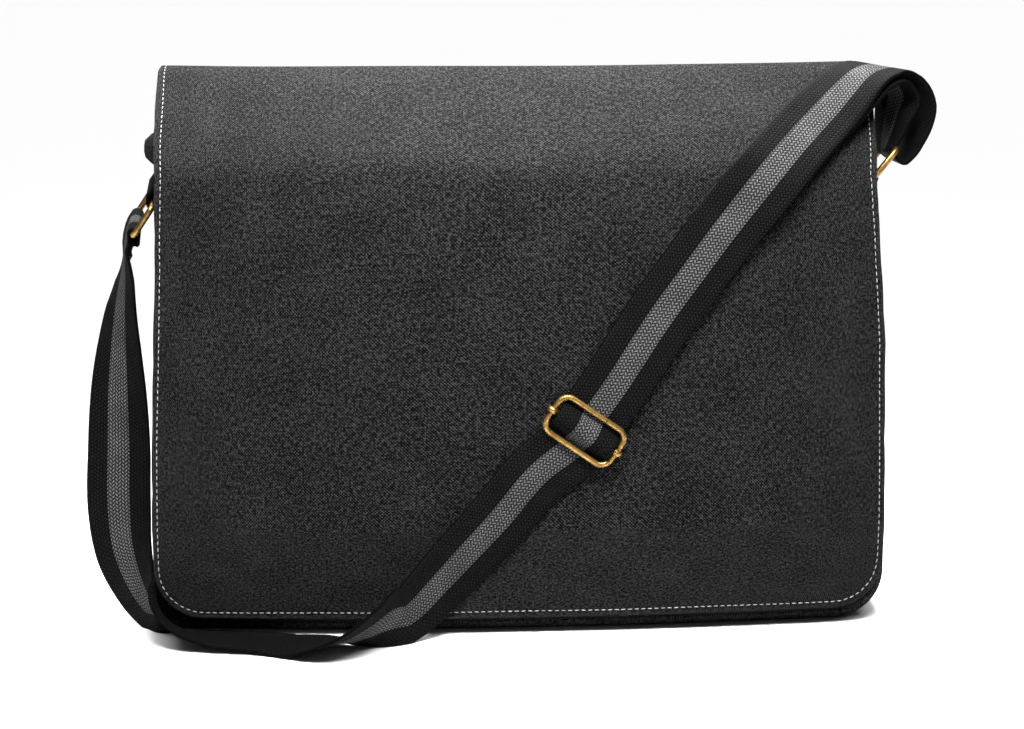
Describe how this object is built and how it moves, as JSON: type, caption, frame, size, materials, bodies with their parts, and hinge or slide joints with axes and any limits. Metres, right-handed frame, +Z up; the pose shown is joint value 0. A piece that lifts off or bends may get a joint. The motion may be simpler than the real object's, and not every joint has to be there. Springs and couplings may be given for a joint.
{
  "type": "canvas shoulder bag",
  "caption": "Flat canvas messenger bag with a full front flap, side rings and an adjustable striped webbing shoulder strap lying across the flap and on the floor.",
  "frame": {"origin": "middle of the flat base, on the floor", "axes": "+X to the right seen from the front, -Y towards the front where the flap hangs, +Z up"},
  "size_m": [0.4738, 0.1541, 0.3091],
  "materials": {
    "canvas": "washed charcoal canvas, matt",
    "webbing": "black herringbone webbing with a grey centre stripe",
    "brass": "antique brass, satin"
  },
  "bodies": {
    "root": {"front_panel": "canvas", "back_panel": "canvas", "gusset": "canvas", "flap": "canvas", "tab_left": "webbing", "tab_right": "webbing", "ring_left": "brass", "ring_right": "brass", "strap": "webbing", "slider_frame": "brass", "slider_bar": "brass"}
  },
  "joints": []
}
